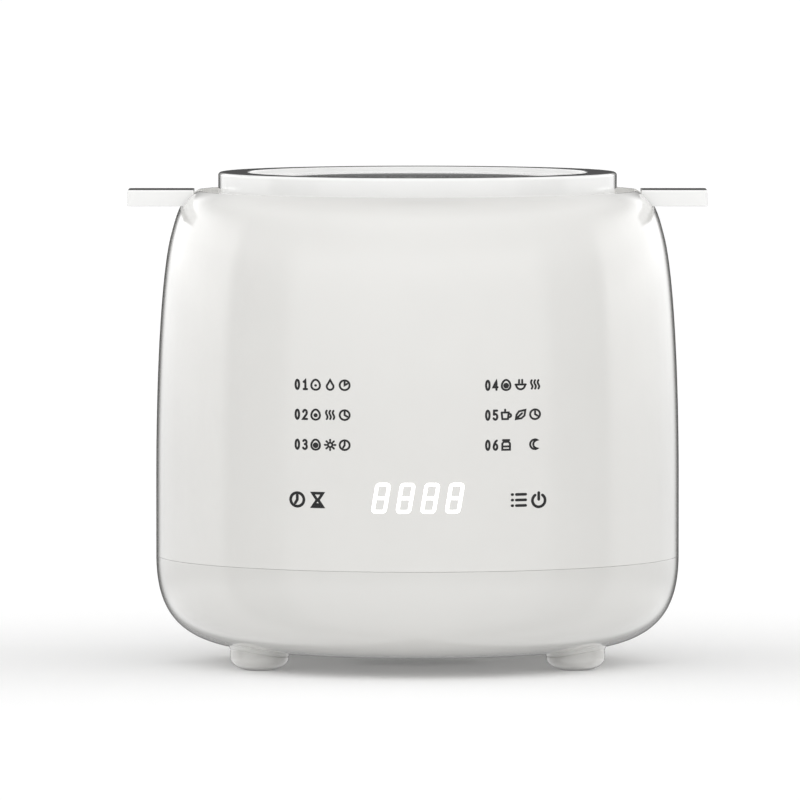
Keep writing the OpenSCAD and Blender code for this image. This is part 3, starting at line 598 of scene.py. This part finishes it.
def sink_normals(obj, z, radius, tilt):
    """Shades the flat floor at height z as if it were very slightly hollow, by this tilt at its edge."""
    mesh = obj.data
    normals = [corner.vector.copy() for corner in mesh.corner_normals]
    for face in mesh.polygons:
        if face.normal.z > 0.999 and abs(face.center.z - z) < 1e-5 and face.center.xy.length < radius:
            for i in face.loop_indices:
                at = mesh.vertices[mesh.loops[i].vertex_index].co
                normals[i] = Vector((-at.x * tilt / radius, -at.y * tilt / radius, 1)).normalized()
    mesh.normals_split_custom_set(normals)


def make_lid():
    """The lid: a dished disc with a raised collar, a flange, a short skirt and two ears."""
    skirt_out = 62.2
    skirt_in = skirt_out - 1.5
    skirt_z = low("lid", "z")
    roof_z = dish_z - 2
    outline = rounded([
        (0, dish_z), (dish_r, dish_z, 0.5), (dish_r, lid_top_z, 0.35), (lid_r, lid_top_z, 0.9),
        (lid_r, flange_top_z, 0.4), (flange_r, flange_top_z, 0.4), (flange_r, flange_z, 0.2),
        (skirt_out, flange_z, 0.3), (skirt_out, skirt_z, 0.4), (skirt_in, skirt_z, 0.4),
        (skirt_in, flange_z + 1, 0.5), (lid_r - 2, flange_top_z, 0.5), (lid_r - 2, lid_top_z - 2, 1),
        (dish_r + 1, lid_top_z - 2, 0.5), (dish_r, roof_z, 0.5), (0, roof_z)], 6)
    lid = lathe("lid_cover", outline)
    ears = join("ears", [ear_solid(-1), ear_solid(1)])
    relief = lathe("relief", [(0, 140), (69.4, 140), (69.4, flange_z - 0.01), (0, flange_z - 0.01)], 192)
    step_z = flange_top_z + 0.02
    step = lathe("step", [(0, step_z), (ear_root_r, step_z), (ear_root_r, 160), (0, 160)], 192)
    boolean(ears, [relief, step])
    boolean(lid, [ears], "UNION")
    boolean(lid, [turned_at("steam_hole", [(0, 140), (1.5, 140), (1.5, 160), (0, 160)], x, -44, 32)
                  for x in (-6, 0, 6)])
    finish_mesh(lid)
    piece(lid, "lid", "lid_plastic", lid_white, "lid")
    sink_normals(lid, dish_z * MM, dish_r * MM, DISH_TILT)
    return lid


# ---- pot and rack ----

def make_pot():
    """The pot: a drawn cup of thin sheet with a rolled edge, and two pressed level marks."""
    pot_r = 63.2
    sheet = 0.6
    corner = 12
    under = ledge_z + 0.2
    outline = [(0, pot_floor_z)] + arc(pot_r - corner, pot_floor_z + corner, corner, corner, -90, 0, 24)
    inner = arc(pot_r - corner, pot_floor_z + corner, corner - sheet, corner - sheet, 0, -90, 24)
    outside = []
    for z in (84, 92):
        outside += [(pot_r, z - 0.8), (pot_r - 0.1, z - 0.3), (pot_r - 0.1, z + 0.3), (pot_r, z + 0.8)]
    inside = [(r - sheet, z) for r, z in outside][::-1]
    outline += outside + [(pot_r, under, 0.3)]
    outline += arc(pot_flange_r - 0.5, under + 0.5, 0.5, 0.5, -90, 90, 12)
    outline += [(pot_r + 0.6, under + 1, 0.4), (pot_r - sheet, under, 0.6)]
    outline += inside + inner + [(0, pot_floor_z + sheet)]
    return piece(lathe("steel_pot", rounded(outline), SEGMENTS, 40), "pot", "pot_steel", pot_steel, "inner_pot")


def make_rack():
    """The egg rack: a rimmed disc with five ringed egg holes, drain holes, five legs and a boss."""
    radius = high("egg_rack", "x")
    ring_top = high("egg_rack", "z")
    leg_z = low("egg_rack", "z")
    plate_z = ring_top - 4.5
    egg_r = 17
    disc = lathe("rack_tray", rounded([
        (0, plate_z), (radius - 1.6, plate_z, 0.4), (radius - 1.6, plate_z - 4, 0.5), (radius, plate_z - 4, 0.5),
        (radius, plate_z + 2, 0.7), (0, plate_z + 2)]))
    added = [turned_at("boss", rounded([(0, plate_z - 4), (7.5, plate_z - 4, 0.4), (7.5, plate_z + 0.5),
                                        (0, plate_z + 0.5)]), 0, 0, 64)]
    cuts = [turned_at("cut", [(0, 60), (3.05, 60), (3.05, plate_z + 3), (0, plate_z + 3)], 0, 0)]
    for i in range(5):
        x, y = polar(37.5, 90 + 72 * i)
        added.append(turned_at("ring", rounded([(0, plate_z + 0.5), (egg_r + 1.6, plate_z + 0.5),
                                                (egg_r + 1.6, ring_top, 0.7), (0, ring_top)]), x, y, 128))
        cuts.append(turned_at("cut", [(0, 60), (egg_r, 60), (egg_r, 90), (0, 90)], x, y, 128))
        x, y = polar(48, 126 + 72 * i)
        added.append(turned_at("leg", rounded([(0, leg_z), (3.5, leg_z, 0.6), (3.5, plate_z + 0.5),
                                               (0, plate_z + 0.5)]), x, y))
        for distance in (22, 30, 38):
            x, y = polar(distance, 126 + 72 * i)
            cuts.append(turned_at("cut", [(0, plate_z - 1), (1.8, plate_z - 1), (1.8, 90), (0, 90)], x, y, 32))
    boolean(disc, added, "UNION")
    boolean(disc, cuts)
    finish_mesh(disc)
    soften(disc, lambda p: p.z > plate_z + 1, 0.35)
    return piece(disc, "rack", "rack_plastic", rack_white, "egg_rack")


def make_knob():
    """The rack's handle: a slim post that flares into a round knob with a finger groove."""
    low_z = low("rack_handle", "z")
    top_z = high("rack_handle", "z")
    knob_z = top_z - 11
    post_r = 4.5
    outline = rounded([(0, low_z), (post_r - 1.5, low_z, 0.5), (post_r - 1.5, low_z + 6), (post_r, low_z + 6, 0.3),
                       (post_r, knob_z - 8)])[:-1]
    outline += bezier([(post_r, knob_z - 8), (post_r, knob_z), (12, knob_z), (12, knob_z + 5)], 24)
    outline += bezier([(12, knob_z + 5), (12, knob_z + 9), (7, knob_z + 11), (0, knob_z + 11)], 24)[1:]
    return piece(lathe("rack_knob", outline, 128), "rack", "rack_plastic", rack_white, "rack_handle")


# ---- print and display ----

PRINT_PROUD = 0.03      # how far print and lit digits stand off the skin


def on_front(x, z):
    """The point of the front that lies behind (x, z)."""
    r = front_radius(z) + PRINT_PROUD
    return (x, -math.sqrt(r * r - x * x), z)


def resampled(points, step):
    line = [Vector(points[0])]
    for p in points[1:]:
        start, end = line[-1], Vector(p)
        count = max(1, math.ceil((end - start).length / step))
        line += [start.lerp(end, k / count) for k in range(1, count + 1)]
    return line


RIBBON_STEP = 0.8       # longest step along a printed stroke


def ribbon(points, width, closed=False):
    """A stroke of even width with round ends, as flat points and faces."""
    line = resampled(list(points) + ([points[0]] if closed else []), RIBBON_STEP)
    if closed:
        line.pop()
    n = len(line)
    verts, faces = [], []
    for i, p in enumerate(line):
        before = line[i - 1] if i or closed else p - (line[1] - p)
        after = line[(i + 1) % n] if i < n - 1 or closed else p + (p - line[i - 1])
        u, v = (p - before).normalized(), (after - p).normalized()
        along = (u + v).normalized() if (u + v).length > 1e-3 else u
        across = Vector((-along.y, along.x))
        reach = width / 2 / max(0.5, along.dot(v))
        verts += [p + across * reach, p - across * reach]
    for i in range(n if closed else n - 1):
        a, b = 2 * i, 2 * ((i + 1) % n)
        faces.append([a, a + 1, b + 1, b])
    if not closed:
        for at, other, flip in ((0, 1, 1), (n - 1, n - 2, -1)):
            away = (line[at] - line[other]).normalized()
            start = math.atan2(away.y, away.x)
            cap = [2 * at + (1 if flip > 0 else 0)]
            for k in range(1, 6):
                angle = start + math.pi * (k / 6 - 0.5)
                verts.append(line[at] + Vector((math.cos(angle), math.sin(angle))) * width / 2)
                cap.append(len(verts) - 1)
            first, last = 2 * at, 2 * at + 1
            begin = line[at] + Vector((math.cos(start - math.pi / 2), math.sin(start - math.pi / 2))) * width / 2
            if (verts[first] - begin).length < (verts[last] - begin).length:
                cap = [first] + cap[1:] + [last]
            else:
                cap = [last] + cap[1:] + [first]
            faces.append(cap)
    return [tuple(v) for v in verts], faces


def spot(cx, cy, rx, ry):
    """A filled ellipse."""
    edge = arc(cx, cy, rx, ry, 0, 360, 20)[:-1]
    return [(cx, cy)] + edge, [[0, 1 + k, 1 + (k + 1) % 20] for k in range(20)]


def print_marks(name, marks, thick=0.04):
    """Wraps flat marks, each a pair of points and faces, on the front."""
    verts, faces = [], []
    for points, mark_faces in marks:
        faces += [[i + len(verts) for i in f] for f in mark_faces]
        verts += [on_front(x, z) for x, z in points]
    mesh = bpy.data.meshes.new(name)
    mesh.from_pydata(verts, [], faces)
    obj = bpy.data.objects.new(name, mesh)
    bpy.context.scene.collection.objects.link(obj)
    work = bmesh.new()
    work.from_mesh(mesh)
    for face in work.faces:
        face.normal_update()
        if face.normal.y > 0:
            face.normal_flip()
    work.to_mesh(mesh)
    work.free()
    modifier = obj.modifiers.new("thickness", "SOLIDIFY")
    modifier.thickness = thick * MM
    modifier.offset = -1
    return obj


def egg_shape(cx, cy, half_w, half_h):
    """Outline of an egg, blunt end down."""
    points = []
    for k in range(28):
        a = 2 * math.pi * k / 28
        points.append((cx + half_w * math.cos(a) * (1 - 0.16 * math.sin(a)), cy + half_h * math.sin(a)))
    return points


def wave(x):
    return [(x + 0.07 * math.sin(2 * math.pi * k / 12), 0.12 + 0.76 * k / 12) for k in range(13)]


# Each glyph is a list of strokes in a square of side 1: ("line", points), ("loop", points) or ("spot", ...).
NUMERALS = {
    0: [("loop", arc(0.5, 0.5, 0.42, 0.5, 0, 360, 24)[:-1])],
    1: [("line", [(0.2, 0.8), (0.6, 1.0), (0.6, 0.0)]), ("line", [(0.2, 0.0), (1.0, 0.0)])],
    2: [("line", arc(0.5, 0.7, 0.44, 0.3, 165, -35, 12) + [(0.04, 0.0), (1.0, 0.0)])],
    3: [("line", arc(0.46, 0.76, 0.42, 0.24, 150, -90, 12)), ("line", arc(0.46, 0.27, 0.48, 0.27, 90, -150, 12))],
    4: [("line", [(0.74, 0.0), (0.74, 1.0), (0.0, 0.28), (1.0, 0.28)])],
    5: [("line", [(0.9, 1.0), (0.16, 1.0), (0.12, 0.56)]), ("line", arc(0.46, 0.31, 0.48, 0.31, 130, -150, 12))],
    6: [("line", [(0.82, 1.0), (0.5, 0.88), (0.18, 0.58), (0.06, 0.3)]),
        ("loop", arc(0.5, 0.3, 0.44, 0.3, 0, 360, 20)[:-1])],
}


def clock(hand):
    a = math.radians(90 - hand)
    return [("loop", arc(0.5, 0.5, 0.44, 0.44, 0, 360, 28)[:-1]),
            ("line", [(0.5, 0.78), (0.5, 0.5), (0.5 + 0.26 * math.cos(a), 0.5 + 0.26 * math.sin(a))])]


def egg(yolk):
    return [("loop", egg_shape(0.5, 0.5, 0.38, 0.46)), ("spot", (0.5, 0.44, yolk, yolk))]


GLYPHS = {
    "soft_egg": egg(0.10), "medium_egg": egg(0.16), "hard_egg": egg(0.22),
    "drop": [("loop", [(0.5, 0.96), (0.34, 0.66)] + arc(0.5, 0.36, 0.3, 0.3, 155, 385, 14) + [(0.66, 0.66)])],
    "waves": [("line", wave(x)) for x in (0.2, 0.5, 0.8)],
    "sun": [("loop", arc(0.5, 0.5, 0.2, 0.2, 0, 360, 16)[:-1])]
           + [("line", [(0.5 + 0.36 * math.cos(a), 0.5 + 0.36 * math.sin(a)),
                        (0.5 + 0.47 * math.cos(a), 0.5 + 0.47 * math.sin(a))])
              for a in (math.radians(45 * k) for k in range(8))],
    "short": clock(60), "middle": clock(120), "long": clock(210),
    "bowl": [("line", [(0.04, 0.52), (0.96, 0.52)]), ("line", arc(0.5, 0.52, 0.4, 0.44, 180, 360, 14)),
             ("line", [(0.36, 0.68), (0.36, 0.94)]), ("line", [(0.64, 0.68), (0.64, 0.94)])],
    "cup": [("line", [(0.1, 0.72), (0.16, 0.12), (0.66, 0.12), (0.72, 0.72), (0.1, 0.72)]),
            ("line", arc(0.72, 0.44, 0.22, 0.17, 75, -75, 10)), ("line", [(0.41, 0.84), (0.41, 0.98)])],
    "leaf": [("loop", [(0.08, 0.1), (0.14, 0.5), (0.36, 0.8), (0.92, 0.92), (0.84, 0.4), (0.56, 0.16)]),
             ("line", [(0.08, 0.1), (0.62, 0.62)])],
    "jar": [("line", [(0.22, 0.94), (0.78, 0.94)]),
            ("loop", [(0.28, 0.78), (0.72, 0.78), (0.84, 0.62), (0.84, 0.06), (0.16, 0.06), (0.16, 0.62)]),
            ("line", [(0.16, 0.36), (0.84, 0.36)])],
    "moon": [("loop", arc(0.5, 0.5, 0.44, 0.44, 60, 300, 18) + arc(0.72, 0.5, 0.38, 0.38, 262, 98, 12)[1:-1])],
    "glass": [("loop", [(0.16, 0.94), (0.84, 0.94), (0.54, 0.5), (0.84, 0.06), (0.16, 0.06), (0.46, 0.5)]),
              ("spot", (0.5, 0.2, 0.16, 0.08))],
    "list": [("line", [(0.06, y), (0.10, y)]) for y in (0.14, 0.5, 0.86)]
            + [("line", [(0.34, y), (0.96, y)]) for y in (0.14, 0.5, 0.86)],
    "power": [("line", arc(0.5, 0.44, 0.42, 0.42, 125, 415, 24)), ("line", [(0.5, 0.94), (0.5, 0.5)])],
}


def glyph(strokes, x, z, width, height, stroke):
    """The strokes of one glyph with its lower left corner at (x, z), its ink kept inside its box."""
    edge = stroke / 2
    def at(p):
        return (x + edge + p[0] * (width - stroke), z + edge + p[1] * (height - stroke))
    marks = []
    for kind, data in strokes:
        if kind == "spot":
            cx, cz = at(data[:2])
            marks.append(spot(cx, cz, data[2] * width, data[3] * height))
        else:
            marks.append(ribbon([at(p) for p in data], stroke, kind == "loop"))
    return marks


LABEL_H = 4.05
LABEL_PITCH = 4.55
LABEL_COLUMN = 4.15
LABEL_LEFT = 38.75      # how far left of the middle the left block starts; the right one ends there
LABEL_Z = (93.1, 83.75, 74.35)
LABELS = (
    ((1, ("soft_egg", "drop", "short")), (4, ("hard_egg", "bowl", "waves"))),
    ((2, ("medium_egg", "waves", "middle")), (5, ("cup", "leaf", "middle"))),
    ((3, ("hard_egg", "sun", "long")), (6, ("jar", None, "moon"))),
)
KEY_Z = 57.0
KEY_H = 5.7


NUMERAL_STROKE = 0.68
ICON_STROKE = 0.62
KEY_STROKE = 0.86


def make_print():
    """Six program labels in two blocks and the marks of the two touch keys."""
    marks = []
    for (left, right), z in zip(LABELS, LABEL_Z):
        for (number, icons), x in ((left, -LABEL_LEFT), (right, LABEL_LEFT - 4.6 - 2 * LABEL_PITCH - LABEL_COLUMN)):
            base = z - LABEL_H / 2
            for digit, dx in ((0, 0.0), (number, 2.4)):
                marks += glyph(NUMERALS[digit], x + dx, base + 0.25, 1.95, LABEL_H - 0.55, NUMERAL_STROKE)
            for k, icon in enumerate(icons):
                if icon:
                    marks += glyph(GLYPHS[icon], x + 4.65 + k * LABEL_PITCH, base, LABEL_COLUMN, LABEL_H, ICON_STROKE)
    for x, icon in ((-40.6, "long"), (-34.2, "glass"), (28.8, "list"), (35.1, "power")):
        marks += glyph(GLYPHS[icon], x, KEY_Z - KEY_H / 2, 5.6, KEY_H, KEY_STROKE)
    return piece(print_marks("printed_marks", marks), "body", "black_plastic", ink)


def make_digits():
    """Four lit figures of eight that show through the front."""
    z = (low("display_segments", "z") + high("display_segments", "z")) / 2
    half_h, half_w, stroke, slant, pitch = 4.25, 1.86, 1.08, math.tan(math.radians(9.5)), 7.7
    marks = []
    for i in (-1.5, -0.5, 0.5, 1.5):
        def lean(points):
            return [(i * pitch + x + y * slant, z + y) for x, y in points]
        corners = [(-half_w, -half_h, 0.75), (half_w, -half_h, 0.75), (half_w, half_h, 0.75), (-half_w, half_h, 0.75)]
        marks.append(ribbon(lean(rounded(corners, 4)), stroke, True))
        marks.append(ribbon(lean([(-half_w + 0.7, 0), (half_w - 0.7, 0)]), stroke))
    return piece(print_marks("lit_digits", marks, 0.05), "body", "lit_segments", lit)


# ---- stage ----

CAMERA_OUT = 3.47
CAMERA_Z = 0.269
CAMERA_TILT = 3.048     # degrees below the horizontal
CAMERA_LENS = 488.4


def make_camera():
    camera = bpy.data.objects.new("camera", bpy.data.cameras.new("camera"))
    bpy.context.scene.collection.objects.link(camera)
    camera.location = (-0.0056, -CAMERA_OUT, CAMERA_Z)
    camera.rotation_euler = (math.radians(90 - CAMERA_TILT), 0, 0)
    camera.data.sensor_width = 36
    camera.data.lens = CAMERA_LENS
    camera.data.clip_end = 200
    bpy.context.scene.camera = camera


FLOOR_GLOW = 0.10       # keeps the shadow under the base from going black


def make_floor():
    """A wide pale floor with a soft darker band of painted shade round the object; from below it lets the view
    through.
    """
    size = 40
    corners = [(-size, -size, 0), (size, -size, 0), (size, size, 0), (-size, size, 0)]
    floor = add_object("floor", corners, [[0, 1, 2, 3]])
    made = bpy.data.materials.new("floor_white")
    made.use_nodes = True
    tree = made.node_tree
    shader = tree.nodes["Principled BSDF"]
    shader.inputs["Roughness"].default_value = 1.0
    shader.inputs["Specular IOR Level"].default_value = 0.0
    # painted shade: the floor's colour darkens in a soft oval round the object, standing in for its shadow
    split = tree.nodes.new("ShaderNodeSeparateXYZ")
    link(tree, place(tree), split.inputs[0])
    dy = math_node(tree, "DIVIDE", math_node(tree, "SUBTRACT", split.outputs["Y"], 0.015), 0.12)
    dx = math_node(tree, "DIVIDE", split.outputs["X"], 0.45)
    far = math_node(tree, "ADD", math_node(tree, "MULTIPLY", dx, dx), math_node(tree, "MULTIPLY", dy, dy))
    painted_shade_band = math_node(tree, "EXPONENT", math_node(tree, "MULTIPLY", far, -1.0))
    mix = tree.nodes.new("ShaderNodeMix")
    mix.data_type = "RGBA"
    mix.inputs["A"].default_value = (0.98, 0.98, 0.98, 1)
    # the colour of the painted shade at the middle of the oval
    mix.inputs["B"].default_value = (0.86, 0.86, 0.86, 1)
    link(tree, painted_shade_band, mix.inputs["Factor"])
    link(tree, mix.outputs["Result"], shader.inputs["Base Color"])
    shader.inputs["Emission Color"].default_value = (1, 1, 1, 1)
    shader.inputs["Emission Strength"].default_value = FLOOR_GLOW
    clear = tree.nodes.new("ShaderNodeBsdfTransparent")
    sides = tree.nodes.new("ShaderNodeMixShader")
    link(tree, tree.nodes.new("ShaderNodeNewGeometry").outputs["Backfacing"], sides.inputs[0])
    link(tree, shader.outputs[0], sides.inputs[1])
    link(tree, clear.outputs[0], sides.inputs[2])
    link(tree, sides.outputs[0], tree.nodes["Material Output"].inputs["Surface"])
    dress(floor, made)
    floor.visible_glossy = False


def ramp(tree, value, stops):
    """Grey levels over 0 to 1, eased between the stops."""
    node = tree.nodes.new("ShaderNodeValToRGB")
    node.color_ramp.interpolation = "EASE"
    elements = node.color_ramp.elements
    while len(elements) < len(stops):
        elements.new(0.5)
    for element, (position, level) in zip(elements, stops):
        element.position = position
        element.color = (level, level, level, 1)
    link(tree, value, node.inputs[0])
    return node.outputs[0]


SKY_GAIN = 4.0          # the ramps hold a quarter of the light's strength


def make_world():
    """Soft studio light: a bright ceiling, a dark horizon, a front fill and two tall panels at the sides."""
    world = bpy.data.worlds.new("studio")
    bpy.context.scene.world = world
    world.use_nodes = True
    tree = world.node_tree
    background = tree.nodes["Background"]
    split = tree.nodes.new("ShaderNodeSeparateXYZ")
    link(tree, tree.nodes.new("ShaderNodeTexCoord").outputs["Generated"], split.inputs[0])
    x, y, z = (split.outputs[a] for a in "XYZ")
    height = math_node(tree, "ADD", math_node(tree, "MULTIPLY", math_node(tree, "ARCSINE", z), 1 / math.pi), 0.5)
    around = math_node(tree, "MULTIPLY",
                       math_node(tree, "ARCTAN2", math_node(tree, "ABSOLUTE", x), math_node(tree, "MULTIPLY", y, -1)),
                       1 / math.pi)
    sky = ramp(tree, height, ((0.0, 0.14), (0.42, 0.14), (0.47, 0.02), (0.49, 0.0), (0.52, 0.03), (0.60, 0.23),
                              (0.72, 0.375), (0.85, 0.25), (1.0, 0.125)))
    lean = ramp(tree, around, ((0.0, 1.0), (0.5, 0.8), (1.0, 0.52)))
    walls = ramp(tree, around, ((0.0, 0.18), (0.31, 0.18), (0.36, 0.03), (0.50, 0.03), (0.55, 0.30), (0.70, 0.36),
                                (0.86, 0.42), (0.92, 0.0)))
    reach = ramp(tree, height, ((0.0, 0.20), (0.30, 0.28), (0.45, 0.40), (0.48, 0.48), (0.50, 0.70), (0.525, 1.0),
                                (0.56, 0.9), (0.66, 0.0)))
    panels = math_node(tree, "MULTIPLY", walls, reach)
    ceiling = math_node(tree, "MULTIPLY", sky, lean)
    total = math_node(tree, "MULTIPLY", math_node(tree, "ADD", ceiling, panels), SKY_GAIN)
    path = tree.nodes.new("ShaderNodeLightPath")
    seen = tree.nodes.new("ShaderNodeMix")
    seen.data_type = "FLOAT"
    link(tree, path.outputs["Is Camera Ray"], seen.inputs["Factor"])
    link(tree, total, seen.inputs["A"])
    seen.inputs["B"].default_value = 1.0
    link(tree, seen.outputs["Result"], background.inputs["Color"])
    background.inputs["Strength"].default_value = 1.0


def set_view():
    scene = bpy.context.scene
    scene.view_settings.view_transform = "Standard"
    scene.view_settings.look = "None"


make_camera()
make_floor()
make_world()
set_view()
dress_cad_nodes()
make_housing()
make_base()
make_feet()
make_lid()
make_pot()
make_rack()
make_knob()
make_print()
make_digits()
